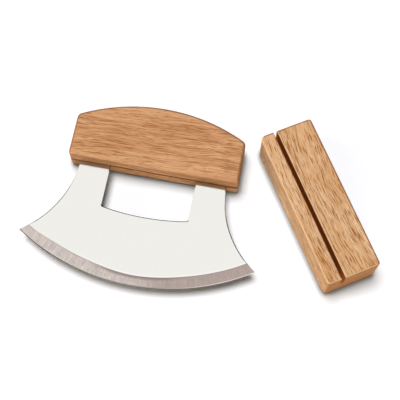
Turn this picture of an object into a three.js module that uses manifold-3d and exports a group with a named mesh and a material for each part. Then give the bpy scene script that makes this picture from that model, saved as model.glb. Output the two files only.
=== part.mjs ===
// An ulu: a round-edged knife with an arched wooden handle, lying beside the slotted block it stands in.
// Sizes are in millimetres. X runs along the handle, Y away from the cutting edge, Z up from the table.

import * as THREE from "three";
import { mergeVertices } from "three/addons/utils/BufferGeometryUtils.js";
import Module from "manifold-3d";

const wasm = await Module();
wasm.setup();

// Steel plate
const bladeWidth = 152.4; // tip to tip
const bladeDrop = 75.8; // from the handle's front face to the lowest point of the edge
const bladeThickness = 1.6;
const edgeRadius = 138.8;
const bevelWidth = 7.4; // ground band along the cutting edge
const honedWidth = 0.5; // last steeper strip of the edge
const honedThickness = 0.24; // plate thickness where the honed strip starts
const sideRadius = 65.6; // hollow of each side between tang and tip

// Tangs and the finger window between them
const tangInset = 7.35; // from each end of the handle to the outer side of its tang
const tangWidth = 20.2; // along the handle
const windowDrop = 30.5; // from the handle to the window's lowest point
const windowFloorRadius = 157;
const windowCornerRadius = 2.4;
const tangDepth = 14; // steel inside the handle
const tangCornerRadius = 1.5;

// Handle
const handleLength = 111.7;
const handleEndHeight = 28.8; // straight part of each end, up to the arch
const handleHeight = 42.9; // at the top of the arch
const handleThickness = 20;
const handleRound = 2; // rounded arris all round both faces
const handleCornerRadius = 4; // where each end runs into the arch
const handleFrontRadius = 2.2; // where each end meets the front face

// Saw cut along the handle and the resin that holds the tangs in it
const glueRoom = 0.3; // between each face of the tang and the wall of the cut
const glueEnd = 2; // resin beyond the end of the tang
const glueSide = 1.5; // resin beside the tang
const glueSetback = 0.8; // resin stops short of the handle's front face
const skin = 0.05; // clearance between the resin and each face it meets

// Stand
const standLength = 105.4;
const standWidth = 35.7;
const standThickness = 25.4;
const standRound = 1.2;
const standCornerRadius = 1.4;
const slotFit = 1.1; // slot width beyond the plate's thickness
const slotDepth = 11;
const slotEase = 0.4; // chamfer along both lips of the slot
const slotOffset = 7.2; // slot's middle from the stand's middle

// Where the stand lies beside the knife
const standGap = 8.1; // from the handle's end to the nearest corner of the stand
const standY = -2.7;
const standTurn = THREE.MathUtils.degToRad(32.7);

// How far a cutting shape reaches beyond what it cuts
const overcut = 5;

// Steps along each curve
const edgeSteps = 400; // whole circle of the cutting edge
const sideSteps = 40;
const floorSteps = 16; // half of the window's floor
const archSteps = 44;
const cornerSteps = 8;
const roundSteps = 6;

// Solid of a closed geometry, ready for adding and cutting
function solid(geometry) {
  const bare = geometry.clone();
  bare.deleteAttribute("normal");
  bare.deleteAttribute("uv");
  const merged = mergeVertices(bare, 1e-4);
  return new wasm.Manifold(
    new wasm.Mesh({
      numProp: 3,
      vertProperties: new Float32Array(merged.attributes.position.array),
      triVerts: new Uint32Array(merged.index.array),
    }),
  );
}

// Geometry of a solid
function geometryOf(body) {
  const mesh = body.getMesh();
  const geometry = new THREE.BufferGeometry();
  geometry.setAttribute("position", new THREE.BufferAttribute(mesh.vertProperties, 3));
  geometry.setIndex(new THREE.BufferAttribute(mesh.triVerts, 1));
  return geometry;
}

// Closed shape through corners [x, y, radius]; a corner without a radius stays sharp
function outline(corners) {
  const points = [];
  corners.forEach(([x, y, radius = 0], i) => {
    const corner = new THREE.Vector2(x, y);
    if (radius === 0) {
      points.push(corner);
      return;
    }
    const before = corners.at(i - 1);
    const after = corners[(i + 1) % corners.length];
    const back = new THREE.Vector2(before[0] - x, before[1] - y).normalize();
    const on = new THREE.Vector2(after[0] - x, after[1] - y).normalize();
    const half = Math.acos(back.dot(on)) / 2;
    const middle = back.clone().add(on).normalize();
    const centre = corner.clone().addScaledVector(middle, radius / Math.sin(half));
    const start = corner.clone().addScaledVector(back, radius / Math.tan(half)).sub(centre);
    const sweep = (Math.PI - 2 * half) * Math.sign(on.cross(back));
    for (let k = 0; k <= cornerSteps; k++) {
      const spoke = start.clone().rotateAround(new THREE.Vector2(), (sweep * k) / cornerSteps);
      points.push(spoke.add(centre));
    }
  });
  return new THREE.Shape(points);
}

// Points along a circle from one angle to another, both ends included
function arc(cx, cy, radius, from, to, steps) {
  const points = [];
  for (let k = 0; k <= steps; k++) {
    const a = from + ((to - from) * k) / steps;
    points.push([cx + radius * Math.cos(a), cy + radius * Math.sin(a)]);
  }
  return points;
}

// Flat plate of a shape, centred on z = 0
function plate(shape, thickness) {
  const geometry = new THREE.ExtrudeGeometry(shape, { depth: thickness, bevelEnabled: false });
  return geometry.translate(0, 0, -thickness / 2);
}

// Board of a shape with a rounded arris, centred on z = 0
function roundedBoard(shape, thickness, round) {
  const geometry = new THREE.ExtrudeGeometry(shape, {
    depth: thickness - 2 * round,
    bevelThickness: round,
    bevelSize: round,
    bevelOffset: -round,
    bevelSegments: roundSteps,
  });
  return geometry.translate(0, 0, round - thickness / 2);
}

// Box between two corners
function box(x0, x1, y0, y1, z0, z1) {
  const geometry = new THREE.BoxGeometry(x1 - x0, y1 - y0, z1 - z0);
  return geometry.translate((x0 + x1) / 2, (y0 + y1) / 2, (z0 + z1) / 2);
}

// Mirrored copy of a list of points, in the order that continues the outline
function mirrored(points) {
  return points.map(([x, y, radius]) => [-x, y, radius]).reverse();
}

// Tangs follow the handle, and the window is the room between them
const tangSpan = handleLength - 2 * tangInset;
const windowWidth = tangSpan - 2 * tangWidth;

// Cutting edge: a disc ground thin towards its rim
function groundDisc() {
  const half = bladeThickness / 2;
  const honed = honedThickness / 2;
  const profile = [
    [0, -half],
    [edgeRadius - bevelWidth, -half],
    [edgeRadius - honedWidth, -honed],
    [edgeRadius, 0],
    [edgeRadius - honedWidth, honed],
    [edgeRadius - bevelWidth, half],
    [0, half],
  ].map(([r, z]) => new THREE.Vector2(r, z));
  const disc = new THREE.LatheGeometry(profile, edgeSteps);
  return disc.rotateX(Math.PI / 2).translate(0, edgeRadius - bladeDrop, 0);
}

// Right half of the plate's outline, from below the tip round to the middle of the window
function bladeHalf() {
  const tipX = bladeWidth / 2;
  const tipY = edgeRadius - bladeDrop - Math.sqrt(edgeRadius ** 2 - tipX ** 2);
  const tangX = tangSpan / 2;

  // circle of the side, through the tip and the tang at the handle
  const chord = new THREE.Vector2(tangX - tipX, -tipY);
  const reach = Math.sqrt(sideRadius ** 2 - chord.lengthSq() / 4);
  const away = new THREE.Vector2(chord.y, -chord.x).normalize();
  const centre = new THREE.Vector2(tipX, tipY).addScaledVector(chord, 0.5).addScaledVector(away, reach);
  const turn = 2 * Math.PI;
  const atTip = (Math.atan2(tipY - centre.y, tipX - centre.x) + turn) % turn;
  const atTang = (Math.atan2(-centre.y, tangX - centre.x) + turn) % turn;
  const past = atTip + overcut / sideRadius;
  const side = arc(centre.x, centre.y, sideRadius, past, atTang, sideSteps);

  // floor of the window, from its right corner to the middle
  const windowX = windowWidth / 2;
  const floorY = windowFloorRadius - windowDrop;
  const floorEnd = Math.asin(windowX / windowFloorRadius);
  const floor = arc(0, floorY, windowFloorRadius, floorEnd - Math.PI / 2, -Math.PI / 2, floorSteps);
  floor[0].push(windowCornerRadius);

  return [
    [side[0][0], -bladeDrop - overcut],
    ...side,
    [tangX, tangDepth, tangCornerRadius],
    [windowX, tangDepth, tangCornerRadius],
    ...floor,
  ];
}

function makeBlade() {
  const right = bladeHalf();
  const left = mirrored(right).slice(1);
  const cutout = plate(outline([...right, ...left]), bladeThickness + overcut);
  return solid(groundDisc()).intersect(solid(cutout));
}

// Saw cut along the whole handle, as wide as the plate with its resin
const kerfWidth = bladeThickness + 2 * glueRoom;
const kerfDepth = tangDepth + glueEnd;

function makeHandle() {
  const half = handleLength / 2;
  const rise = handleHeight - handleEndHeight;
  const archRadius = (half ** 2 + rise ** 2) / (2 * rise);
  const archY = handleHeight - archRadius;

  // upper corner: an arc that runs smoothly from the straight end into the arch
  const cornerX = half - handleCornerRadius;
  const cornerY = archY + Math.sqrt((archRadius - handleCornerRadius) ** 2 - cornerX ** 2);
  const meet = Math.atan2(cornerY - archY, cornerX);
  const corner = arc(cornerX, cornerY, handleCornerRadius, 0, meet, cornerSteps);
  const arch = arc(0, archY, archRadius, meet, Math.PI - meet, archSteps).slice(1, -1);
  const shape = outline([
    [-half, 0, handleFrontRadius],
    [half, 0, handleFrontRadius],
    ...corner,
    ...arch,
    ...mirrored(corner),
  ]);
  const past = half + overcut;
  const kerf = box(-past, past, -overcut, kerfDepth, -kerfWidth / 2, kerfWidth / 2);
  return solid(roundedBoard(shape, handleThickness, handleRound)).subtract(solid(kerf));
}

// Resin round one tang, on the right (side = 1) or the left (side = -1)
function makeResin(side) {
  const inner = windowWidth / 2;
  const outer = tangSpan / 2;
  const z = kerfWidth / 2 - skin;
  const steelZ = bladeThickness / 2 + skin;
  const bed = box(inner - glueSide, outer + glueSide, glueSetback, kerfDepth - skin, -z, z);
  const room = box(inner - skin, outer + skin, -overcut, tangDepth + skin, -steelZ, steelZ);
  const resin = solid(bed).subtract(solid(room));
  return side > 0 ? resin : resin.mirror([1, 0, 0]);
}

function makeStand() {
  const x = standWidth / 2;
  const y = standLength / 2;
  const r = standCornerRadius;
  const shape = outline([[-x, -y, r], [x, -y, r], [x, y, r], [-x, y, r]]);
  const block = roundedBoard(shape, standThickness, standRound).translate(0, 0, standThickness / 2);

  // slot's section, drawn a little higher than the block so that it cuts clean through the top
  const wall = (bladeThickness + slotFit) / 2;
  const mouth = wall + 2 * slotEase;
  const section = outline([
    [-wall, standThickness - slotDepth],
    [wall, standThickness - slotDepth],
    [wall, standThickness - slotEase],
    [mouth, standThickness + slotEase],
    [-mouth, standThickness + slotEase],
    [-wall, standThickness - slotEase],
  ]);
  const slot = plate(section, standLength + overcut).rotateX(Math.PI / 2).translate(-slotOffset, 0, 0);
  return solid(block).subtract(solid(slot));
}

function piece(name, body, finish) {
  const mesh = new THREE.Mesh(geometryOf(body), new THREE.MeshStandardMaterial(finish));
  mesh.name = name;
  mesh.geometry.computeVertexNormals();
  return mesh;
}

const steel = { color: 0xe9e7e3, roughness: 0.22, metalness: 1 };
const handleWood = { color: 0xc59167, roughness: 0.6, metalness: 0 };
const standWood = { color: 0xd5aa7f, roughness: 0.65, metalness: 0 };
const curedResin = { color: 0x8a6238, roughness: 0.4, metalness: 0 };

// The knife lies on the flat of its handle, with the blade level and clear of the table
const knife = new THREE.Group();
knife.add(
  piece("blade", makeBlade(), steel),
  piece("handle", makeHandle(), handleWood),
  piece("tang_resin_left", makeResin(-1), curedResin),
  piece("tang_resin_right", makeResin(1), curedResin),
);
knife.position.z = handleThickness / 2;

const stand = piece("stand", makeStand(), standWood);
stand.rotation.z = standTurn;
const standReach = (standWidth * Math.cos(standTurn) + standLength * Math.sin(standTurn)) / 2;
stand.position.set(handleLength / 2 + standGap + standReach, standY, 0);

const ulu = new THREE.Group();
ulu.name = "ulu";
ulu.add(knife, stand);

// Middle of the footprint at the origin, lowest point on z = 0
const bounds = new THREE.Box3().setFromObject(ulu, true);
const middle = bounds.getCenter(new THREE.Vector3());
ulu.position.set(-middle.x, -middle.y, -bounds.min.z);

export default ulu;
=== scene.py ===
# %% [markdown]
# # An ulu and its stand
# An ulu is a chopping knife with one round cutting edge and a handle that lies above the middle of the blade.
# This one lies on a table beside the slotted wooden block that it stands in when nobody is using it.
# The solid model comes first and stays fixed, because it holds every size.
# All that follows gives its pieces finer surfaces, wood and steel, in the same frame and in metres.

# %% Load the solid model
import math

import bpy
from mathutils import Matrix, Vector


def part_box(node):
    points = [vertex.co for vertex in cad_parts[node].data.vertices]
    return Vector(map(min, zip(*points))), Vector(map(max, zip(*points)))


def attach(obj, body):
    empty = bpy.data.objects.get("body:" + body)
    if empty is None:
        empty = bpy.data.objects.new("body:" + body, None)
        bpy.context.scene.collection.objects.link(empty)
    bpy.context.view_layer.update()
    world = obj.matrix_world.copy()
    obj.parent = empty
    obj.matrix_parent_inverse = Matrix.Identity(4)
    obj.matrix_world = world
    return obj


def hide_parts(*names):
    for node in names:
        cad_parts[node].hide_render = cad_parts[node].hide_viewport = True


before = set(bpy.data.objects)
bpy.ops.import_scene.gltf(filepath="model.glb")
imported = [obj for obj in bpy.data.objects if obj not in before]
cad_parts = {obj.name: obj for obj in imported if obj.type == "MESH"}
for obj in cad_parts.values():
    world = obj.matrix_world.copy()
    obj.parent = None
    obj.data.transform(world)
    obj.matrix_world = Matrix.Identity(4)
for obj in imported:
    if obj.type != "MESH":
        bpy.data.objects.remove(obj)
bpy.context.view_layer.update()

for name in sorted(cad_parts):
    low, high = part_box(name)
    print(name, "size in mm:", [round(1000 * (b - a), 1) for a, b in zip(low, high)])

# %% [markdown]
# ## The knife's place and the stand's place
# The knife lies on the flat of its handle, so its blade is level and clear of the table by almost half
# the handle's thickness.
# Each piece is drawn flat, in a frame of its own, and is then carried to its place by one matrix.
# The knife's frame lies in the middle of the plate, on the line where the handle's front face crosses it.
# The stand's frame lies in the middle of the block. The solid model's boxes say where both are on the table.

# %% Places of the knife and the stand
MM = 0.001
tang_depth = 14 * MM
stand_turn = math.radians(32.7)

blade_low, blade_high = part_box("blade")
knife_origin = (blade_low + blade_high) / 2
knife_origin.y = blade_high.y - tang_depth
knife_place = Matrix.Translation(knife_origin)

stand_low, stand_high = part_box("stand")
stand_origin = (stand_low + stand_high) / 2
stand_place = Matrix.Translation(stand_origin) @ Matrix.Rotation(stand_turn, 4, "Z")
print("knife's frame at", [round(v / MM, 2) for v in knife_origin], "mm")
print("stand's frame at", [round(v / MM, 2) for v in stand_origin], "mm")

# %% [markdown]
# ## Camera
# The camera looks down steeply from the front and a little from the right, through a long lens.
# Its place was found by fitting the outlines of both pieces to the picture, so it is given as plain numbers,
# counted from the knife's frame.
# A focal length in pixels is turned into millimetres on the sensor, because that is what the camera asks for.

# %% Camera
FRAME_PIXELS = 400
FOCAL_PIXELS = 916.0
camera_at = Vector((knife_origin.x + 0.070032, knife_origin.y - 0.205335, 0.566517))
camera_to = Vector((knife_origin.x + 0.032599, knife_origin.y - 0.008643, 0.0))

camera = bpy.data.objects.new("camera", bpy.data.cameras.new("camera"))
camera.data.sensor_width = 36.0
camera.data.lens = FOCAL_PIXELS / FRAME_PIXELS * camera.data.sensor_width
camera.data.clip_start = 0.01
camera.location = camera_at
camera.rotation_euler = (camera_to - camera_at).to_track_quat("-Z", "Y").to_euler()
bpy.context.scene.collection.objects.link(camera)
bpy.context.scene.camera = camera
bpy.context.scene.view_settings.view_transform = "Standard"
print("lens", round(camera.data.lens, 1), "mm, distance", round((camera_to - camera_at).length, 3), "m")

# %% [markdown]
# ## Small helpers for node trees
# Shaders and Geometry Nodes are both trees of nodes with sockets.
# One helper makes a node, sets what stays the same and links what comes from another node.
# Others stand for the few steps that come up again and again, such as mixing two colours.
# That keeps each recipe below about as short as its description.


# %% Helpers for node trees
def feed(tree, socket, value):
    """Links a socket, or each of a list of sockets, to an input, or sets the input to a plain value."""
    if isinstance(value, list):
        for each in value:
            tree.links.new(each, socket)
    elif isinstance(value, bpy.types.NodeSocket):
        tree.links.new(value, socket)
    else:
        socket.default_value = value


def node(tree, kind, feeds=None, **settings):
    """Makes a node, sets its properties and feeds its inputs."""
    made = tree.nodes.new(kind)
    for name, value in settings.items():
        setattr(made, name, value)
    for name, value in (feeds or {}).items():
        feed(tree, made.inputs[name], value)
    return made


def maths(tree, operation, *values):
    return node(tree, "ShaderNodeMath", dict(enumerate(values)), operation=operation).outputs[0]


def vectors(tree, operation, *values):
    made = node(tree, "ShaderNodeVectorMath", dict(enumerate(values)), operation=operation)
    return made.outputs["Value" if operation in ("LENGTH", "DOT_PRODUCT") else "Vector"]


def between(tree, value, start, end, at_start=0.0, at_end=1.0):
    """Maps a value smoothly from start..end to at_start..at_end."""
    feeds = {"Value": value, "From Min": start, "From Max": end, "To Min": at_start, "To Max": at_end}
    return node(tree, "ShaderNodeMapRange", feeds, interpolation_type="SMOOTHSTEP").outputs["Result"]


def blend(tree, share, first, second):
    """Mixes two colours."""
    made = node(tree, "ShaderNodeMix", {0: share, 6: first, 7: second}, data_type="RGBA")
    return made.outputs[2]


def tint(tree, colour, towards, mask, share):
    """Moves a colour part of the way towards another, as far as a mask allows."""
    return blend(tree, maths(tree, "MULTIPLY", mask, share), colour, towards)


def noise(tree, place, scale, detail=2.0, roughness=0.5):
    """Noise over coordinates that are first stretched along each axis."""
    stretched = vectors(tree, "MULTIPLY", place, scale)
    feeds = {"Vector": stretched, "Scale": 1.0, "Detail": detail, "Roughness": roughness}
    return node(tree, "ShaderNodeTexNoise", feeds)


def linear(red, green, blue):
    """A colour as read from a screen, 0 to 255, turned into the light values that shaders use."""
    parts = [c / 255 for c in (red, green, blue)]
    light = [c / 12.92 if c <= 0.04045 else ((c + 0.055) / 1.055) ** 2.4 for c in parts]
    return (*light, 1.0)


print("a mid grey of 128 is", round(linear(128, 128, 128)[0], 3), "in light values")

# %% [markdown]
# ## Light and surround
# The pieces lie under a broad lamp that hangs almost overhead, a little to the left and behind them.
# It gives short soft shadows to the lower right.
# Two weak and warmer lamps, low on the left and in front, light the sides.
# Sun lamps light every part of the table alike, and their angle says how soft the shadows are.
# The world adds very little. Where the camera or polished steel looks at it, it is plain white instead,
# because a mirror-like blade shows whatever is around it.
# A ray that has already met table or wood gets the dim world even off the steel, or the blade would send
# light into its own shadow.


# %% Lamps
def sun_lamp(name, share, towards, angle, colour=(1.0, 1.0, 1.0)):
    """A lamp that gives a level surface the given share of light."""
    towards = Vector(towards).normalized()
    lamp = bpy.data.objects.new(name, bpy.data.lights.new(name, "SUN"))
    lamp.data.angle = math.radians(angle)
    lamp.data.energy = share * math.pi / towards.z
    lamp.data.color = colour
    lamp.rotation_euler = (-towards).to_track_quat("-Z", "Y").to_euler()
    lamp.visible_glossy = False
    bpy.context.scene.collection.objects.link(lamp)
    print(name, "gives", share, "from", [round(v, 2) for v in towards])


KEY_SHARE = 0.845
LEFT_SHARE = 0.09
FRONT_SHARE = 0.1
FILL_SHARE = 0.04
PALE_LIGHT = (1.0, 0.94, 0.85)
WARM_LIGHT = (1.0, 0.88, 0.7)
sun_lamp("key_lamp", KEY_SHARE, (-0.16, 0.165, 0.97), 32)
sun_lamp("left_lamp", LEFT_SHARE, (-0.95, -0.10, 0.26), 25, PALE_LIGHT)
sun_lamp("front_lamp", FRONT_SHARE, (0.15, -0.95, 0.24), 25, WARM_LIGHT)

# %% World
world = bpy.data.worlds.new("white_surround")
world.use_nodes = True
bpy.context.scene.world = world
sky = world.node_tree
sky.nodes.clear()
path = node(sky, "ShaderNodeLightPath")
direct = maths(sky, "LESS_THAN", path.outputs["Diffuse Depth"], 0.5)
mirrored = maths(sky, "MULTIPLY", path.outputs["Is Glossy Ray"], direct)
seen = maths(sky, "MAXIMUM", path.outputs["Is Camera Ray"], mirrored)
seen = maths(sky, "MAXIMUM", seen, path.outputs["Is Transmission Ray"])
strength = node(sky, "ShaderNodeMix", {0: seen, 2: FILL_SHARE, 3: 1.0}).outputs[0]
surround = node(sky, "ShaderNodeBackground", {"Color": (1.0, 1.0, 1.0, 1.0), "Strength": strength})
node(sky, "ShaderNodeOutputWorld", {"Surface": surround.outputs[0]})
print("level surfaces get", round(KEY_SHARE + LEFT_SHARE + FRONT_SHARE + FILL_SHARE, 2), "of white light")

# %% [markdown]
# ## Table
# The table is a plain white sheet without gloss. It only has to catch the shadows.
# The camera sees it a little brighter than it is, so that it comes out pure white and only real shadow
# is left on it.
# Close to whatever stands on it, it darkens, which gives the thin line of shade where wood meets table.
# The light that it throws back at the wood is a little warm.

# %% Table
FLOOR_HALF = 1.5
FLOOR_DROP = 0.02 * MM
FLOOR_SEEN = (1.06, 1.06, 1.09, 1.0)
FLOOR_BOUNCE = (0.97, 0.91, 0.82, 1.0)
SHADE_REACH = 3.5 * MM

table_finish = bpy.data.materials.new("white_table")
table_finish.use_nodes = True
matt = table_finish.node_tree
matt.nodes.clear()
path = node(matt, "ShaderNodeLightPath")
feeds = {"Color": FLOOR_SEEN, "Distance": SHADE_REACH}
shaded = node(matt, "ShaderNodeAmbientOcclusion", feeds).outputs["Color"]
sheet_colour = blend(matt, path.outputs["Is Camera Ray"], FLOOR_BOUNCE, shaded)
sheet_surface = node(matt, "ShaderNodeBsdfDiffuse", {"Color": sheet_colour}).outputs[0]
node(matt, "ShaderNodeOutputMaterial", {"Surface": sheet_surface})

sheet = bpy.data.meshes.new("table")
corners = [(FLOOR_HALF * x, FLOOR_HALF * y, -FLOOR_DROP) for x, y in ((-1, -1), (1, -1), (1, 1), (-1, 1))]
sheet.from_pydata(corners, [], [(0, 1, 2, 3)])
sheet.materials.append(table_finish)
table = bpy.data.objects.new("table", sheet)
bpy.context.scene.collection.objects.link(table)
print("table", 2 * FLOOR_HALF, "m square")

# %% [markdown]
# ## Wood figure
# Handle and stand are cut from light brown hardwood. Its figure has broad bands where the saw crossed
# growth rings, fibre streaks inside them, and thin dark dashes where it opened the pores.
# All of them are long along the grain and thin across it, and they run right through the board.
# So the pattern is a solid one, read from coordinates in the piece's own frame, with X along the grain.
# It then meets itself at every arris and turns into dots on the end grain, as it does in real wood.
# Both woods use it with their own colours and shares, so it is a node group.


# %% Start of a node group
def group_tree(name, inputs, outputs):
    """An empty node group with named sockets, and the sockets that its nodes can read."""
    tree = bpy.data.node_groups.new(name, "ShaderNodeTree")
    for label, kind in inputs.items():
        tree.interface.new_socket(label, in_out="INPUT", socket_type="NodeSocket" + kind)
    for label, kind in outputs.items():
        tree.interface.new_socket(label, in_out="OUTPUT", socket_type="NodeSocket" + kind)
    return tree, node(tree, "NodeGroupInput").outputs


# %% Coordinates along the grain
def along_the_grain(tree, place, bend):
    """Millimetres along and across the grain, which bends slowly and wanders a little."""
    place = vectors(tree, "SCALE", place)
    place.node.inputs["Scale"].default_value = 1 / MM
    along = node(tree, "ShaderNodeSeparateXYZ", {0: place}).outputs["X"]
    bow = maths(tree, "MULTIPLY", maths(tree, "MULTIPLY", along, along), bend)
    place = vectors(tree, "SUBTRACT", place, node(tree, "ShaderNodeCombineXYZ", {"Y": bow}).outputs[0])
    drift = noise(tree, place, (0.02, 0.05, 0.05)).outputs["Color"]
    drift = vectors(tree, "MULTIPLY", vectors(tree, "SUBTRACT", drift, (0.5, 0.5, 0.5)), (0.0, 5.0, 5.0))
    return vectors(tree, "ADD", place, drift)


# %% Node group for the wood figure
FIBRE_SHARE = 0.22
PORE_SHARE = 0.8
END_WARM = 0.5
END_DARK = 0.58
PAINTED_SHADE_SHARE = 0.85
SAWN_FRESH = 0.9


def make_wood_figure():
    """Colour, roughness and height of the wood at a place in its own frame."""
    tree, given = group_tree(
        "wood_figure",
        {"Place": "Vector", "Bend": "Float", "Dash Pitch": "Float",
         "Band Share": "Float", "Streak Share": "Float", "Dash Share": "Float", "Warm Share": "Float",
         "Rub Share": "Float",
         "Pale": "Color", "Deep": "Color", "Warm": "Color", "Dash": "Color", "Fresh": "Color",
         "Rubbed": "Float", "Soaked": "Float", "End Grain": "Float", "Sawn": "Float"},
        {"Color": "Color", "Roughness": "Float", "Height": "Float"},
    )
    place = along_the_grain(tree, given["Place"], given["Bend"])
    bands = between(tree, noise(tree, place, (0.012, 0.13, 0.13), 2.0, 0.5).outputs["Fac"], 0.36, 0.64)
    streaks = between(tree, noise(tree, place, (0.018, 0.6, 0.6), 3.0, 0.6).outputs["Fac"], 0.38, 0.62)
    fibre = noise(tree, place, (0.08, 1.6, 1.6), 2.0, 0.6).outputs["Fac"]
    thin = node(tree, "ShaderNodeCombineXYZ", {"X": given["Dash Pitch"], "Y": 1.7, "Z": 1.7}).outputs[0]
    opened = noise(tree, place, thin, 1.0, 0.5).outputs["Fac"]
    opened = maths(tree, "ADD", opened, maths(tree, "MULTIPLY", bands, 0.04))
    dashes = between(tree, opened, 0.55, 0.68)
    glow = between(tree, noise(tree, place, (0.03, 0.12, 0.12), 2.0, 0.6).outputs["Fac"], 0.42, 0.66)
    cells = vectors(tree, "MULTIPLY", place, (0.17, 1.25, 1.25))
    cells = node(tree, "ShaderNodeTexVoronoi", {"Vector": cells, "Scale": 1.0})
    pores = between(tree, cells.outputs["Distance"], 0.1, 0.3, 1.0, 0.0)
    dark = maths(tree, "MAXIMUM", dashes, maths(tree, "MULTIPLY", pores, PORE_SHARE))

    tone = maths(tree, "MULTIPLY", bands, given["Band Share"])
    tone = maths(tree, "ADD", tone, maths(tree, "MULTIPLY", streaks, given["Streak Share"]))
    fine = maths(tree, "MULTIPLY", between(tree, fibre, 0.3, 0.7), FIBRE_SHARE)
    tone = maths(tree, "ADD", tone, fine)
    colour = blend(tree, tone, given["Pale"], given["Deep"])
    colour = tint(tree, colour, given["Warm"], glow, given["Warm Share"])
    colour = tint(tree, colour, given["Dash"], dark, given["Dash Share"])
    colour = tint(tree, colour, given["Warm"], given["End Grain"], END_WARM)
    colour = tint(tree, colour, given["Dash"], given["End Grain"], END_DARK)
    # Painted highlight: the arrises on the lit side are paler.
    colour = tint(tree, colour, given["Pale"], given["Rubbed"], given["Rub Share"])
    # Painted shade: the arrises turned away from the light are darker.
    colour = tint(tree, colour, given["Dash"], given["Soaked"], PAINTED_SHADE_SHARE)
    colour = tint(tree, colour, given["Fresh"], given["Sawn"], SAWN_FRESH)

    rough = maths(tree, "ADD", maths(tree, "MULTIPLY", fibre, 0.2), 0.42)
    rough = maths(tree, "ADD", rough, maths(tree, "MULTIPLY", given["Sawn"], 0.3))
    height = maths(tree, "SUBTRACT", maths(tree, "MULTIPLY", fibre, 0.5), dark)
    node(tree, "NodeGroupOutput", {"Color": colour, "Roughness": rough, "Height": height})
    return tree


wood_figure = make_wood_figure()
print("wood figure:", len(wood_figure.nodes), "nodes")


# %% [markdown]
# ## Two woods
# The handle is the redder and darker of the two boards, and the stand the paler one.
# A Mapping node takes the coordinates into the frame of the piece, turned so that X lies along the grain.
# Four marks come with the mesh: the arrises on the lit side, which get a painted highlight, the arrises
# turned away from it, which get painted shade, `end_grain`, where oil went in deepest, and `sawn`, the fresh
# walls of the cut.
# For light that has already met the table the wood is almost grey, so the white table takes on no colour.


# %% Handle wood and stand wood
WOOD_GREY = linear(150, 144, 138)
PORE_DEPTH = 0.1 * MM


def wood(name, origin, turn, figure):
    """A wood with its own colours and shares, in the frame of its piece."""
    finish = bpy.data.materials.new(name)
    finish.use_nodes = True
    tree = finish.node_tree
    surface = tree.nodes["Principled BSDF"]
    place = node(tree, "ShaderNodeTexCoord").outputs["Object"]
    feeds = {"Vector": place, "Location": origin, "Rotation": (0.0, 0.0, turn)}
    place = node(tree, "ShaderNodeMapping", feeds, vector_type="TEXTURE").outputs[0]
    marks = {}
    for label in ("Rubbed", "Soaked", "End Grain", "Sawn"):
        stored = label.lower().replace(" ", "_")
        marks[label] = node(tree, "ShaderNodeAttribute", attribute_name=stored).outputs["Fac"]
    grain = node(tree, "ShaderNodeGroup", node_tree=wood_figure)
    for label, value in {"Place": place, **marks, **figure}.items():
        feed(tree, grain.inputs[label], value)
    bounced = node(tree, "ShaderNodeLightPath").outputs["Is Diffuse Ray"]
    bounced = maths(tree, "MULTIPLY", bounced, maths(tree, "SUBTRACT", 1.0, marks["Sawn"]))
    colour = blend(tree, bounced, grain.outputs["Color"], WOOD_GREY)
    feed(tree, surface.inputs["Base Color"], colour)
    feed(tree, surface.inputs["Roughness"], grain.outputs["Roughness"])
    feeds = {"Height": grain.outputs["Height"], "Strength": 0.25, "Distance": PORE_DEPTH}
    feed(tree, surface.inputs["Normal"], node(tree, "ShaderNodeBump", feeds).outputs[0])
    surface.inputs["Specular IOR Level"].default_value = 0.08
    return finish


handle_wood = wood("oiled_handle_wood", knife_origin, math.radians(2.5), {
    "Bend": 0.0,
    "Dash Pitch": 0.07,
    "Band Share": 0.3,
    "Streak Share": 0.45,
    "Dash Share": 0.7,
    "Warm Share": 0.15,
    "Rub Share": 0.3,
    "Pale": linear(222, 173, 130),
    "Deep": linear(182, 128, 86),
    "Warm": linear(200, 134, 80),
    "Dash": linear(136, 84, 48),
    "Fresh": linear(180, 106, 50),
})
other_plank = Vector((0.0, 0.0, 0.2))
stand_wood = wood("oiled_stand_wood", stand_origin + other_plank, stand_turn + math.radians(90), {
    "Bend": -0.0012,
    "Dash Pitch": 0.11,
    "Band Share": 0.3,
    "Streak Share": 0.35,
    "Dash Share": 0.85,
    "Warm Share": 0.4,
    "Rub Share": 0.8,
    "Pale": linear(230, 193, 154),
    "Deep": linear(194, 147, 102),
    "Warm": linear(203, 145, 92),
    "Dash": linear(148, 88, 34),
    "Fresh": linear(178, 104, 44),
})
print("woods:", handle_wood.name, "and", stand_wood.name)

# %% [markdown]
# ## Boards from outlines
# The handle and the stand are both boards: an outline is sawn from a plank, all its arrises are rounded,
# and one straight cut is sawn along it. That is a rule, so Geometry Nodes follow it.
# The outline is a closed line of edges, drawn from straight runs and arcs.
# One tree fills it and gives it its thickness, a Bevel modifier rounds the arrises, and a second tree saws
# the cut.
# Doing it in the maker's order keeps the cut's own edges crisp.


# %% Outlines
SAME_POINT = 1e-7


def arc(middle, radius, start, end, steps):
    """Points along an arc, in the plane z = 0."""
    turn = [start + (end - start) * k / steps for k in range(steps + 1)]
    x, y = middle[0], middle[1]
    return [Vector((x + radius * math.cos(a), y + radius * math.sin(a), 0)) for a in turn]


def loop_object(name, points):
    """A mesh of one closed line of edges."""
    tidy = [p for i, p in enumerate(points) if (p - points[i - 1]).length > SAME_POINT]
    mesh = bpy.data.meshes.new(name)
    mesh.from_pydata(tidy, [(i, (i + 1) % len(tidy)) for i in range(len(tidy))], [])
    piece = bpy.data.objects.new(name, mesh)
    bpy.context.scene.collection.objects.link(piece)
    print(name, "outline of", len(tidy), "points")
    return piece


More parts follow.
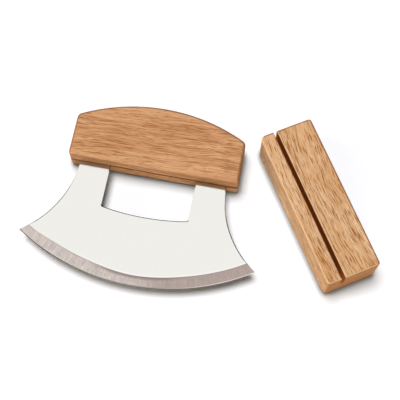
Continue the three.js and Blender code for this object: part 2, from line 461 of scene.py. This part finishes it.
# %% Geometry Nodes helpers
def geometry_tree(name, inputs):
    """An empty Geometry Nodes tree with named inputs, and the sockets that its nodes can read."""
    tree = bpy.data.node_groups.new(name, "GeometryNodeTree")
    tree.interface.new_socket("Geometry", in_out="INPUT", socket_type="NodeSocketGeometry")
    for label, kind in {**inputs, "Material": "Material"}.items():
        tree.interface.new_socket(label, in_out="INPUT", socket_type="NodeSocket" + kind)
    tree.interface.new_socket("Geometry", in_out="OUTPUT", socket_type="NodeSocketGeometry")
    return tree, node(tree, "NodeGroupInput").outputs


def close_tree(tree, given, shape):
    """Ends a tree: everything real, one material, out."""
    shape = node(tree, "GeometryNodeRealizeInstances", {"Geometry": shape}).outputs[0]
    feeds = {"Geometry": shape, "Material": given["Material"]}
    shape = node(tree, "GeometryNodeSetMaterial", feeds).outputs[0]
    node(tree, "NodeGroupOutput", {"Geometry": shape})
    return tree


def lift(tree, shape, height):
    """Moves a shape straight up."""
    up = node(tree, "ShaderNodeCombineXYZ", {"Z": height}).outputs[0]
    return node(tree, "GeometryNodeTransform", {"Geometry": shape, "Translation": up}).outputs[0]


def join(tree, *shapes):
    return node(tree, "GeometryNodeJoinGeometry", {"Geometry": list(shapes)}).outputs[0]


def thicken(tree, outline, thickness):
    """Fills a closed outline and makes it a slab of that thickness, half above and half below z = 0."""
    line = node(tree, "GeometryNodeMeshToCurve", {"Mesh": outline}).outputs[0]
    face = node(tree, "GeometryNodeFillCurve", {"Curve": line}, mode="NGONS").outputs[0]
    face = lift(tree, face, maths(tree, "MULTIPLY", thickness, -0.5))
    feeds = {"Mesh": face, "Offset": (0.0, 0.0, 1.0), "Offset Scale": thickness, "Individual": False}
    walls = node(tree, "GeometryNodeExtrudeMesh", feeds, mode="FACES").outputs[0]
    base = node(tree, "GeometryNodeFlipFaces", {"Mesh": face}).outputs[0]
    feeds = {"Geometry": join(tree, walls, base), "Distance": SAME_POINT}
    return node(tree, "GeometryNodeMergeByDistance", feeds).outputs[0]


def smooth_to(tree, shape, sharpest):
    """Smooth shading, with a crease along each edge that turns by more than the given angle."""
    shape = node(tree, "GeometryNodeSetShadeSmooth", {"Geometry": shape, "Shade Smooth": True}).outputs[0]
    angle = node(tree, "GeometryNodeInputMeshEdgeAngle").outputs["Unsigned Angle"]
    crease = maths(tree, "GREATER_THAN", angle, sharpest)
    feeds = {"Geometry": shape, "Selection": crease, "Shade Smooth": False}
    return node(tree, "GeometryNodeSetShadeSmooth", feeds, domain="EDGE").outputs[0]


def add_tree(piece, tree, values):
    """Puts a tree on a piece and sets its inputs by their identifiers."""
    modifier = piece.modifiers.new(tree.name, "NODES")
    modifier.node_group = tree
    for item in tree.interface.items_tree:
        if item.item_type == "SOCKET" and item.in_out == "INPUT" and item.name in values:
            modifier[item.identifier] = values[item.name]


def settle(piece, place):
    """Makes the modified piece a plain mesh that holds its own place."""
    graph = bpy.context.evaluated_depsgraph_get()
    shaped = piece.evaluated_get(graph)
    mesh = bpy.data.meshes.new_from_object(shaped, preserve_all_data_layers=True, depsgraph=graph)
    piece.modifiers.clear()
    outline = piece.data
    piece.data = mesh
    bpy.data.meshes.remove(outline)
    mesh.transform(place)
    mesh.name = piece.name
    corners = [v.co for v in mesh.vertices]
    low = [round(min(c[i] for c in corners) / MM, 2) for i in range(3)]
    high = [round(max(c[i] for c in corners) / MM, 2) for i in range(3)]
    print(piece.name, len(mesh.polygons), "faces from", low, "to", high, "mm")


# %% Tree of a board
def make_board_tree():
    """Turns an outline into a board."""
    tree, given = geometry_tree("board_from_outline", {"Thickness": "Float"})
    return close_tree(tree, given, thicken(tree, given["Geometry"], given["Thickness"]))


board_from_outline = make_board_tree()
print("board tree:", len(board_from_outline.nodes), "nodes")


# %% Tree of a saw cut
def keep_mark(tree, shape, name, value, domain="FACE"):
    """Stores one value for each face, or each edge, under a name that modifiers and shaders can ask for."""
    feeds = {"Geometry": shape, "Name": name, "Value": value}
    return node(tree, "GeometryNodeStoreNamedAttribute", feeds, data_type="FLOAT", domain=domain).outputs[0]


def inside_box(tree, middle, size):
    """1 where the face's middle lies in the box, else 0."""
    offset = vectors(tree, "SUBTRACT", node(tree, "GeometryNodeInputPosition").outputs[0], middle)
    half_size = vectors(tree, "MULTIPLY", size, (0.5, 0.5, 0.5))
    past_wall = vectors(tree, "SUBTRACT", vectors(tree, "ABSOLUTE", offset), half_size)
    parts = node(tree, "ShaderNodeSeparateXYZ", {0: past_wall}).outputs
    worst = maths(tree, "MAXIMUM", maths(tree, "MAXIMUM", parts[0], parts[1]), parts[2])
    return maths(tree, "LESS_THAN", worst, 1e-6)


CREASE = math.radians(32)


def make_saw_tree():
    """Saws a cut with eased lips out of a board, and marks its faces for the wood."""
    tree, given = geometry_tree("saw_cut", {
        "Cut Size": "Vector", "Cut Middle": "Vector",
        "Lip Size": "Vector", "Lip Middle": "Vector", "Lip Turn": "Rotation",
        "Lit Side": "Vector", "Grain": "Vector",
    })
    cut = node(tree, "GeometryNodeMeshCube", {"Size": given["Cut Size"]}).outputs["Mesh"]
    feeds = {"Geometry": cut, "Translation": given["Cut Middle"]}
    cut = node(tree, "GeometryNodeTransform", feeds).outputs[0]
    lip = node(tree, "GeometryNodeMeshCube", {"Size": given["Lip Size"]}).outputs["Mesh"]
    feeds = {"Geometry": lip, "Translation": given["Lip Middle"], "Rotation": given["Lip Turn"]}
    lip = node(tree, "GeometryNodeTransform", feeds).outputs[0]
    feeds = {"Mesh 1": given["Geometry"], "Mesh 2": [cut, lip]}
    shape = node(tree, "GeometryNodeMeshBoolean", feeds, operation="DIFFERENCE", solver="EXACT").outputs[0]
    shape = smooth_to(tree, shape, CREASE)

    # A face that is neither level nor upright belongs to a rounded arris.
    normal = node(tree, "GeometryNodeInputNormal").outputs["Normal"]
    flat = maths(tree, "ABSOLUTE", node(tree, "ShaderNodeSeparateXYZ", {0: normal}).outputs["Z"])
    side = vectors(tree, "LENGTH", vectors(tree, "MULTIPLY", normal, (1.0, 1.0, 0.0)))
    arris = between(tree, maths(tree, "MAXIMUM", flat, side), 1.0, 0.75)
    turned = maths(tree, "MULTIPLY", between(tree, flat, 1.0, 0.94), between(tree, flat, 0.02, 0.15))

    # Arrises on the lit side get a painted highlight, those turned away from it get painted shade.
    toward_lit_side = vectors(tree, "DOT_PRODUCT", normal, given["Lit Side"])
    rubbed = maths(tree, "MULTIPLY", arris, between(tree, toward_lit_side, 0.1, 0.4))
    soaked = maths(tree, "MULTIPLY", turned, between(tree, toward_lit_side, 0.2, -0.15))

    # The walls of the cut lie inside its box, but so do parts of the end faces.
    ends = maths(tree, "ABSOLUTE", vectors(tree, "DOT_PRODUCT", normal, given["Grain"]))
    wall = maths(tree, "LESS_THAN", ends, 0.5)
    sawn = maths(tree, "MULTIPLY", wall, inside_box(tree, given["Cut Middle"], given["Cut Size"]))
    shape = keep_mark(tree, shape, "sawn", sawn)
    shape = keep_mark(tree, shape, "end_grain", between(tree, ends, 0.6, 0.95))
    shape = keep_mark(tree, shape, "rubbed", rubbed)
    shape = keep_mark(tree, shape, "soaked", soaked)
    return close_tree(tree, given, shape)


saw_cut = make_saw_tree()
print("saw tree:", len(saw_cut.nodes), "nodes")


# %% Board maker
ARRIS_STEPS = 10
ARRIS_ANGLE = math.radians(50)


def make_board(name, points, thickness, rounding, lit_side_and_grain, cut, finish, place):
    """Outline, thickness, rounded arrises and saw cut, in the maker's order."""
    piece = loop_object(name, points)
    add_tree(piece, board_from_outline, {"Thickness": thickness, "Material": finish})
    arris = piece.modifiers.new("rounded arris", "BEVEL")
    arris.width = rounding
    arris.segments = ARRIS_STEPS
    arris.limit_method = "ANGLE"
    arris.angle_limit = ARRIS_ANGLE
    arris.use_clamp_overlap = False
    add_tree(piece, saw_cut, {**lit_side_and_grain, **cut, "Material": finish})
    flats = piece.modifiers.new("flat faces stay flat", "WEIGHTED_NORMAL")
    flats.keep_sharp = True
    settle(piece, place)
    return piece


# %% [markdown]
# ## Handle
# The handle is one board with a straight front, upright ends and an arched back.
# A saw cut runs along the whole front face, and the two tangs of the blade are glued into it.
# The tool that saws it reaches a little past the wood on every open side.

# %% Handle
handle_length = 111.7 * MM
handle_end_height = 28.8 * MM
handle_height = 42.9 * MM
handle_thickness = 20 * MM
handle_round = 2 * MM
handle_corner = 4 * MM
handle_front_corner = 2.2 * MM
kerf_width = 2.2 * MM
kerf_depth = 16 * MM
kerf_ease = 0.45 * MM
past = 10 * MM
quarter = math.pi / 2
CORNER_STEPS, BEND_STEPS, ARCH_STEPS = 14, 10, 80

half = handle_length / 2
rise = handle_height - handle_end_height
arch_radius = (half ** 2 + rise ** 2) / (2 * rise)
arch_y = handle_height - arch_radius
corner_x = half - handle_corner
corner_y = arch_y + math.sqrt((arch_radius - handle_corner) ** 2 - corner_x ** 2)
meet = math.atan2(corner_y - arch_y, corner_x)
front_x = half - handle_front_corner
handle_points = (
    arc((-front_x, handle_front_corner), handle_front_corner, math.pi, 3 * quarter, CORNER_STEPS)
    + arc((front_x, handle_front_corner), handle_front_corner, -quarter, 0, CORNER_STEPS)
    + arc((corner_x, corner_y), handle_corner, 0, meet, BEND_STEPS)
    + arc((0, arch_y), arch_radius, meet, math.pi - meet, ARCH_STEPS)
    + arc((-corner_x, corner_y), handle_corner, math.pi - meet, math.pi, BEND_STEPS)
)
kerf_lip = (kerf_width / 2 + kerf_ease) * math.sqrt(2)
kerf = {
    "Cut Size": (handle_length + past, kerf_depth + past, kerf_width),
    "Cut Middle": (0.0, (kerf_depth - past) / 2, 0.0),
    "Lip Size": (handle_length + past, kerf_lip, kerf_lip),
    "Lip Middle": (0.0, 0.0, 0.0),
    "Lip Turn": (math.radians(45), 0.0, 0.0),
}
# The lit side sets which arrises get a painted highlight and which get painted shade.
lit_side_and_grain = {"Lit Side": (0.0, -1.0, 0.0), "Grain": (1.0, 0.0, 0.0)}
handle = make_board(
    "handle_board", handle_points, handle_thickness, handle_round, lit_side_and_grain, kerf, handle_wood, knife_place
)

# %% [markdown]
# ## Stand
# The stand is a plain rectangular block, rounded like the handle.
# Its slot runs from end to end, off the middle, and is a little wider than the blade. Its lips are eased.

# %% Stand
stand_length = 105.4 * MM
stand_width = 35.7 * MM
stand_thickness = 25.4 * MM
stand_round = 1.6 * MM
front_left, front_right, back_right, back_left = 2.4 * MM, 2 * MM, 2 * MM, 4.2 * MM
slot_width = 2.7 * MM
slot_depth = 11 * MM
slot_ease = 0.4 * MM
slot_x = -7.2 * MM

across = stand_width / 2
length = stand_length / 2
stand_points = (
    arc((front_left - across, front_left - length), front_left, math.pi, 3 * quarter, CORNER_STEPS)
    + arc((across - front_right, front_right - length), front_right, -quarter, 0, CORNER_STEPS)
    + arc((across - back_right, length - back_right), back_right, 0, quarter, CORNER_STEPS)
    + arc((back_left - across, length - back_left), back_left, quarter, math.pi, CORNER_STEPS)
)
slot_lip = (slot_width / 2 + slot_ease) * math.sqrt(2)
slot = {
    "Cut Size": (slot_width, stand_length + past, slot_depth + past),
    "Cut Middle": (slot_x, 0.0, stand_thickness / 2 + (past - slot_depth) / 2),
    "Lip Size": (slot_lip, stand_length + past, slot_lip),
    "Lip Middle": (slot_x, 0.0, stand_thickness / 2),
    "Lip Turn": (0.0, math.radians(45), 0.0),
}
# The lit side sets which arrises get a painted highlight and which get painted shade.
lit_side_and_grain = {"Lit Side": (-1.0, -0.5, 0.0), "Grain": (0.0, 1.0, 0.0)}
stand = make_board(
    "stand_block", stand_points, stand_thickness, stand_round, lit_side_and_grain, slot, stand_wood, stand_place
)

# %% [markdown]
# ## Steel
# The flat of the blade is polished, so it shows the white surround and, close to the handle, the wood.
# The bevel is ground by hand on a belt, which makes it greyer and duller, and short scratches break it up.
# Along the edge its tone changes slowly: a painted reflection of light from the left makes it paler on the
# left and near the edge there, and greyer to the right.
# The ridge where bevel and flat meet has a painted highlight.
# The last half millimetre is honed, and painted dark on the left as shade and bright on the right as a
# highlight.
# Where the sheet was cut out, its edges are broken. The broken edges that face back are painted as thin dark
# lines, a painted reflection of a dark end of the room, and the walls that face right as thin dark lines of
# painted shade. Close to the handle the flat is painted darker too, a painted reflection: steel gives back
# only part of the light that it mirrors, and that shows beside the brown wood.
# Distance and direction from the middle of the edge's circle tell the shader which of these it is painting.
# For light on its way from table or wood the steel counts as dark, which keeps the shadow under the blade
# deep.

# %% Steel finish
blade_drop = 75.8 * MM
edge_radius = 138.8 * MM
bevel_width = 7.4 * MM
honed_width = 0.5 * MM
edge_middle_y = edge_radius - blade_drop

STEEL = {
    "flat": linear(242, 240, 235),
    "brushed flat": linear(239, 237, 232),
    "ridge_highlight": linear(255, 248, 244),
    "painted reflection by the handle": linear(194, 190, 184),
    "bevel on the left": linear(222, 212, 205),
    "bevel on the right": linear(187, 171, 164),
    "pale strip": linear(229, 221, 213),
    "patch": linear(172, 159, 151),
    "border": linear(128, 116, 110),
    "hollow": linear(142, 128, 122),
    "scratch": linear(146, 132, 125),
    "honed, painted shade": linear(100, 92, 88),
    "honed in the middle": linear(164, 154, 149),
    "honed, painted highlight": linear(232, 219, 212),
    "cut edge": linear(32, 30, 29),
    "bounced light": linear(70, 70, 70),
}


# %% Coordinates of the cutting edge
def edge_coordinates(tree):
    """The place seen from the middle of the edge's circle, and millimetres along the edge and in from it."""
    place = node(tree, "ShaderNodeTexCoord").outputs["Object"]
    middle = knife_place @ Vector((0.0, edge_middle_y, 0.0))
    place = vectors(tree, "SCALE", vectors(tree, "SUBTRACT", place, middle))
    place.node.inputs["Scale"].default_value = 1 / MM
    radius = vectors(tree, "LENGTH", vectors(tree, "MULTIPLY", place, (1.0, 1.0, 0.0)))
    inward = maths(tree, "SUBTRACT", edge_radius / MM, radius)
    parts = node(tree, "ShaderNodeSeparateXYZ", {0: place}).outputs
    angle = maths(tree, "ARCTAN2", parts["X"], maths(tree, "MULTIPLY", parts["Y"], -1.0))
    return place, maths(tree, "MULTIPLY", angle, edge_radius / MM), inward


# %% Tones of bevel, flat and honed edge
def bevel_border(tree, along):
    """How far in from the edge the bevel ends. Ground by hand, it wanders by a millimetre or so."""
    border = between(tree, along, -78.0, -52.0, 6.5, 7.9)
    for start, end, change in ((-36.0, 2.0, -1.35), (2.0, 40.0, 0.85), (48.0, 76.0, -0.15)):
        border = maths(tree, "ADD", border, between(tree, along, start, end, 0.0, change))
    return border


def bevel_tone(tree, along, inward, depth, scratch, strip):
    """Painted reflection greyer to the right and paler near the edge on the left; dark at its border, patchy
    and scratched.
    """
    # Painted reflection of light from the left: paler on the left, greyer to the right.
    turn = between(tree, along, -12.0, 28.0)
    tone = blend(tree, turn, STEEL["bevel on the left"], STEEL["bevel on the right"])
    # Painted reflection: paler near the edge on the left.
    pale = maths(tree, "MULTIPLY", between(tree, inward, 3.0, 1.4), between(tree, along, 20.0, -10.0))
    tone = tint(tree, tone, STEEL["pale strip"], pale, 0.6)
    patch = between(tree, noise(tree, strip, (0.22, 0.3, 0.0), 2.0, 0.6).outputs["Fac"], 0.3, 0.7)
    tone = tint(tree, tone, STEEL["patch"], patch, 0.3)
    line = maths(tree, "MULTIPLY", between(tree, depth, 0.9, 0.5), between(tree, along, -66.0, -40.0))
    tone = tint(tree, tone, STEEL["border"], line, 0.3)
    middle = maths(tree, "MULTIPLY", between(tree, along, -34.0, -8.0), between(tree, along, 42.0, 16.0))
    hollow = maths(tree, "MULTIPLY", between(tree, depth, 2.6, 0.8), middle)
    tone = tint(tree, tone, STEEL["hollow"], hollow, 0.8)
    return tint(tree, tone, STEEL["scratch"], scratch, 0.32)


def flat_tone(tree, place, along, depth, brushed):
    """White, with a painted highlight along the ridge at the bevel, and a painted darker reflection for three
    millimetres in front of the handle.
    """
    tone = blend(tree, brushed, STEEL["flat"], STEEL["brushed flat"])
    ridge_highlight = maths(tree, "MULTIPLY", between(tree, depth, -1.5, -0.7), between(tree, along, -52.0, -30.0))
    tone = tint(tree, tone, STEEL["ridge_highlight"], ridge_highlight, 0.55)
    ahead = node(tree, "ShaderNodeSeparateXYZ", {0: place}).outputs["Y"]
    ahead = maths(tree, "ADD", ahead, edge_middle_y / MM)
    # Painted reflection: the flat is darker for three millimetres in front of the handle.
    return blend(tree, between(tree, ahead, -3.0, -2.5), tone, STEEL["painted reflection by the handle"])


def honed_tone(tree, along):
    """Painted shade on the left, as a dark line along the edge, and a painted highlight on the right, where
    the honed edge turns towards the lamp.
    """
    left = between(tree, along, -50.0, -10.0)
    tone = blend(tree, left, STEEL["honed, painted shade"], STEEL["honed in the middle"])
    return blend(tree, between(tree, along, 10.0, 60.0), tone, STEEL["honed, painted highlight"])


# %% Steel material
BORDER_BLUR = 0.2
HONED_BLUR = 0.1
SCRATCH_DEPTH = 0.03 * MM


def make_steel():
    """Polished flat, ground bevel, honed edge and painted dark lines along some edges, in one finish."""
    finish = bpy.data.materials.new("ground_steel")
    finish.use_nodes = True
    tree = finish.node_tree
    surface = tree.nodes["Principled BSDF"]
    place, along, inward = edge_coordinates(tree)
    strip = node(tree, "ShaderNodeCombineXYZ", {"X": along, "Y": inward}).outputs[0]
    depth = maths(tree, "SUBTRACT", bevel_border(tree, along), inward)
    ground = between(tree, depth, -BORDER_BLUR, BORDER_BLUR)
    honed = between(tree, inward, honed_width / MM + HONED_BLUR, honed_width / MM - HONED_BLUR)
    cut_edge = node(tree, "ShaderNodeAttribute", attribute_name="cut_edge").outputs["Fac"]
    scratch = between(tree, noise(tree, strip, (1.5, 0.14, 0.0), 2.0, 0.6).outputs["Fac"], 0.35, 0.65)
    brushed = noise(tree, place, (1.2, 0.05, 0.0), 2.0).outputs["Fac"]

    flat = flat_tone(tree, place, along, depth, brushed)
    colour = blend(tree, ground, flat, bevel_tone(tree, along, inward, depth, scratch, strip))
    colour = blend(tree, honed, colour, honed_tone(tree, along))
    # Painted dark lines: a painted reflection on back-facing broken edges, painted shade on right-facing
    # walls.
    colour = blend(tree, cut_edge, colour, STEEL["cut edge"])
    bounced = node(tree, "ShaderNodeLightPath").outputs["Is Diffuse Ray"]
    feed(tree, surface.inputs["Base Color"], blend(tree, bounced, colour, STEEL["bounced light"]))

    dull = maths(tree, "ADD", maths(tree, "MULTIPLY", scratch, 0.12), 0.36)
    dull = maths(tree, "ADD", dull, maths(tree, "MULTIPLY", cut_edge, 0.1))
    polish = maths(tree, "ADD", maths(tree, "MULTIPLY", brushed, 0.06), 0.12)
    worked = maths(tree, "MAXIMUM", ground, cut_edge)
    rough = node(tree, "ShaderNodeMix", {0: worked, 2: polish, 3: dull}).outputs[0]
    feed(tree, surface.inputs["Roughness"], rough)
    scored = maths(tree, "MULTIPLY", scratch, ground)
    feeds = {"Height": scored, "Strength": 0.3, "Distance": SCRATCH_DEPTH}
    feed(tree, surface.inputs["Normal"], node(tree, "ShaderNodeBump", feeds).outputs[0])
    surface.inputs["Metallic"].default_value = 1.0
    return finish


blade_steel = make_steel()
print("steel finish:", len(blade_steel.node_tree.nodes), "nodes")

# %% [markdown]
# ## Blade
# The blade is one sheet of steel. A grinder thins it towards a circular edge, the same on both faces.
# So its shape follows a rule: everything inside the drawn outline and also inside a disc that is ground thin
# at its rim.
# The disc is made of short cones, two for each face, and a tree takes what the two shapes share.
# The edges where the sheet was cut are then broken by a small Bevel, which fades out at the tips where the
# sheet gets thin, and a last tree marks some of them, and some walls, for painted dark lines.


# %% Disc with a ground rim
RIM_STEPS = 900
RIM_MERGE = 0.01 * MM


def cone(tree, wide, narrow, low, high):
    """The slanting wall of a cone between two heights."""
    feeds = {"Vertices": RIM_STEPS, "Radius Top": narrow, "Radius Bottom": wide,
             "Depth": maths(tree, "SUBTRACT", high, low)}
    wall = node(tree, "GeometryNodeMeshCone", feeds, fill_type="NONE").outputs["Mesh"]
    return lift(tree, wall, low)


def ground_disc(tree, given):
    """A disc as thick as the sheet, ground and honed from both faces."""
    full = maths(tree, "MULTIPLY", given["Thickness"], 0.5)
    thin = maths(tree, "MULTIPLY", given["Honed Thickness"], 0.5)
    shoulder = maths(tree, "SUBTRACT", given["Edge Radius"], given["Honed Width"])
    inner = maths(tree, "SUBTRACT", given["Edge Radius"], given["Bevel Width"])
    honed = cone(tree, given["Edge Radius"], shoulder, 0.0, thin)
    bevel = cone(tree, shoulder, inner, thin, full)
    feeds = {"Vertices": RIM_STEPS, "Radius": inner}
    lid = node(tree, "GeometryNodeMeshCircle", feeds, fill_type="NGON").outputs[0]
    upper = join(tree, honed, bevel, lift(tree, lid, full))
    feeds = {"Geometry": upper, "Scale": (1.0, 1.0, -1.0)}
    lower = node(tree, "GeometryNodeTransform", feeds).outputs[0]
    lower = node(tree, "GeometryNodeFlipFaces", {"Mesh": lower}).outputs[0]
    feeds = {"Geometry": join(tree, upper, lower), "Distance": RIM_MERGE}
    disc = node(tree, "GeometryNodeMergeByDistance", feeds).outputs[0]
    feeds = {"Geometry": disc, "Translation": given["Edge Middle"]}
    return node(tree, "GeometryNodeTransform", feeds).outputs[0]


# %% Tree of the ground plate
BREAK_FADE = 1.8


def make_plate_tree():
    """What the outline and the ground disc share, with its square edges marked for breaking."""
    tree, given = geometry_tree("ground_plate", {
        "Thickness": "Float", "Edge Radius": "Float", "Edge Middle": "Vector",
        "Bevel Width": "Float", "Honed Width": "Float", "Honed Thickness": "Float",
    })
    disc = ground_disc(tree, given)
    blank = thicken(tree, given["Geometry"], maths(tree, "MULTIPLY", given["Thickness"], 4.0))
    feeds = {"Mesh 2": [blank, disc]}
    shape = node(tree, "GeometryNodeMeshBoolean", feeds, operation="INTERSECT", solver="EXACT").outputs[0]

    angle = node(tree, "GeometryNodeInputMeshEdgeAngle").outputs["Unsigned Angle"]
    square = maths(tree, "COMPARE", angle, math.radians(90), math.radians(20))
    place = node(tree, "GeometryNodeInputPosition").outputs[0]
    offset = vectors(tree, "SUBTRACT", place, given["Edge Middle"])
    radius = vectors(tree, "LENGTH", vectors(tree, "MULTIPLY", offset, (1.0, 1.0, 0.0)))
    inward = maths(tree, "SUBTRACT", given["Edge Radius"], radius)
    room = between(tree, maths(tree, "DIVIDE", inward, given["Bevel Width"]), 0.0, BREAK_FADE)
    weight = maths(tree, "MULTIPLY", square, room)
    shape = keep_mark(tree, shape, "bevel_weight_edge", weight, "EDGE")
    return close_tree(tree, given, shape)


ground_plate = make_plate_tree()
print("plate tree:", len(ground_plate.nodes), "nodes")


# %% Tree that marks the cut edges
FLAT_LEVEL = 0.97
WALL_LEVEL = 0.5
FACET = math.radians(3)


def make_edge_tree():
    """Marks broken edges that face the dark side, and walls that face the shaded side, for painted dark
    lines.
    """
    tree, given = geometry_tree("dark_line_marks", {"Dark Side": "Vector", "Shaded Side": "Vector"})
    shape = smooth_to(tree, given["Geometry"], FACET)
    normal = node(tree, "GeometryNodeInputNormal").outputs["Normal"]
    level = maths(tree, "ABSOLUTE", node(tree, "ShaderNodeSeparateXYZ", {0: normal}).outputs["Z"])
    turned = between(tree, vectors(tree, "DOT_PRODUCT", normal, given["Dark Side"]), 0.05, 0.17)
    turned = maths(tree, "MULTIPLY", turned, maths(tree, "LESS_THAN", level, FLAT_LEVEL))
    shaded = between(tree, vectors(tree, "DOT_PRODUCT", normal, given["Shaded Side"]), 0.3, 0.6)
    shaded = maths(tree, "MULTIPLY", shaded, maths(tree, "LESS_THAN", level, WALL_LEVEL))
    shape = keep_mark(tree, shape, "cut_edge", maths(tree, "MAXIMUM", turned, shaded))
    return close_tree(tree, given, shape)


dark_line_marks = make_edge_tree()
print("edge tree:", len(dark_line_marks.nodes), "nodes")

# %% [markdown]
# The outline runs from below the right tip up the hollow side to the tang, round the window and back on the
# left. The hollow side runs on a little past the tip, and the disc cuts it off there.

# %% Blade
blade_width = 152.4 * MM
plate_thickness = 1.6 * MM
honed_thickness = 0.24 * MM
side_radius = 65.6 * MM
tang_inset = 7.35 * MM
tang_width = 20.2 * MM
tang_corner = 1.5 * MM
window_drop = 30.5 * MM
window_floor_radius = 157 * MM
window_corner = 1.5 * MM
edge_break = 0.65 * MM
run_on = 0.08
side_steps, floor_steps, tang_steps = 90, 40, 8

tip_drop = math.sqrt(edge_radius ** 2 - blade_width ** 2 / 4)
tip = Vector((blade_width / 2, edge_middle_y - tip_drop, 0))
tang = Vector((handle_length / 2 - tang_inset, 0, 0))
chord = tang - tip
reach = math.sqrt(side_radius ** 2 - chord.length_squared / 4)
side_middle = (tip + tang) / 2 + Vector((chord.y, -chord.x, 0)).normalized() * reach
at_tip = math.atan2(tip.y - side_middle.y, tip.x - side_middle.x) % math.tau
at_tang = math.atan2(tang.y - side_middle.y, tang.x - side_middle.x) % math.tau
side_points = arc(side_middle, side_radius, at_tip + run_on, at_tang, side_steps)

window_x = tang.x - tang_width
floor_y = window_floor_radius - window_drop
dx = window_x - window_corner
dy = math.sqrt((window_floor_radius - window_corner) ** 2 - dx ** 2)
floor_end = math.atan2(-dy, dx)
right_points = (
    [Vector((side_points[0].x, -blade_drop - past, 0))]
    + side_points
    + arc((tang.x - tang_corner, tang_depth - tang_corner), tang_corner, 0, quarter, tang_steps)
    + arc((window_x + tang_corner, tang_depth - tang_corner), tang_corner, quarter, math.pi, tang_steps)
    + arc((dx, floor_y - dy), window_corner, 0, floor_end, BEND_STEPS)
    + arc((0, floor_y), window_floor_radius, floor_end, -quarter, floor_steps)
)
left_points = [Vector((-p.x, p.y, 0)) for p in reversed(right_points)]
blade = loop_object("blade_plate", right_points + left_points)
add_tree(blade, ground_plate, {
    "Thickness": plate_thickness, "Edge Radius": edge_radius, "Edge Middle": (0.0, edge_middle_y, 0.0),
    "Bevel Width": bevel_width, "Honed Width": honed_width, "Honed Thickness": honed_thickness,
    "Material": blade_steel,
})
broken = blade.modifiers.new("broken edge", "BEVEL")
broken.width = edge_break
broken.segments = 2
broken.limit_method = "WEIGHT"
broken.use_clamp_overlap = False
add_tree(blade, dark_line_marks, {
    "Dark Side": (0.0, 1.0, 0.0), "Shaded Side": (1.0, 0.0, 0.0), "Material": blade_steel,
})
settle(blade, knife_place)

# %% [markdown]
# ## Resin
# Two beds of cured resin hold the tangs in the saw cut. They are deep in the cut and hardly show.
# Their shape in the solid model is right, so they only get a finish: amber brown, glossy, slightly cloudy.


# %% Resin
CLOUD_SCALE = (400.0, 400.0, 400.0)
RESIN_DEEP = linear(96, 62, 30)
RESIN_PALE = linear(142, 98, 54)


def make_resin():
    """Amber brown, with clouds that are also a little duller."""
    finish = bpy.data.materials.new("amber_resin")
    finish.use_nodes = True
    tree = finish.node_tree
    surface = tree.nodes["Principled BSDF"]
    place = node(tree, "ShaderNodeTexCoord").outputs["Object"]
    cloud = noise(tree, place, CLOUD_SCALE, 3.0).outputs["Fac"]
    cloud = between(tree, cloud, 0.3, 0.7)
    feed(tree, surface.inputs["Base Color"], blend(tree, cloud, RESIN_DEEP, RESIN_PALE))
    rough = maths(tree, "ADD", maths(tree, "MULTIPLY", cloud, 0.15), 0.2)
    feed(tree, surface.inputs["Roughness"], rough)
    return finish


cured_resin = make_resin()
for name in ("tang_resin_left", "tang_resin_right"):
    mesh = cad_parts[name].data
    mesh.materials.clear()
    mesh.materials.append(cured_resin)
print("resin on two nodes")

# %% [markdown]
# ## Joining the pieces to the solid model
# Each finer piece stands for one node of the solid model and moves with its body; that node is hidden.

# %% Bodies and nodes
for piece, body, name, finish in (
    (handle, "knife", "handle", "handle_wood"),
    (blade, "knife", "blade", "blade_steel"),
    (stand, "stand", "stand", "stand_wood"),
):
    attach(piece, body)
    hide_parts(name)
    print(piece.name, "stands for", name, "on", body)
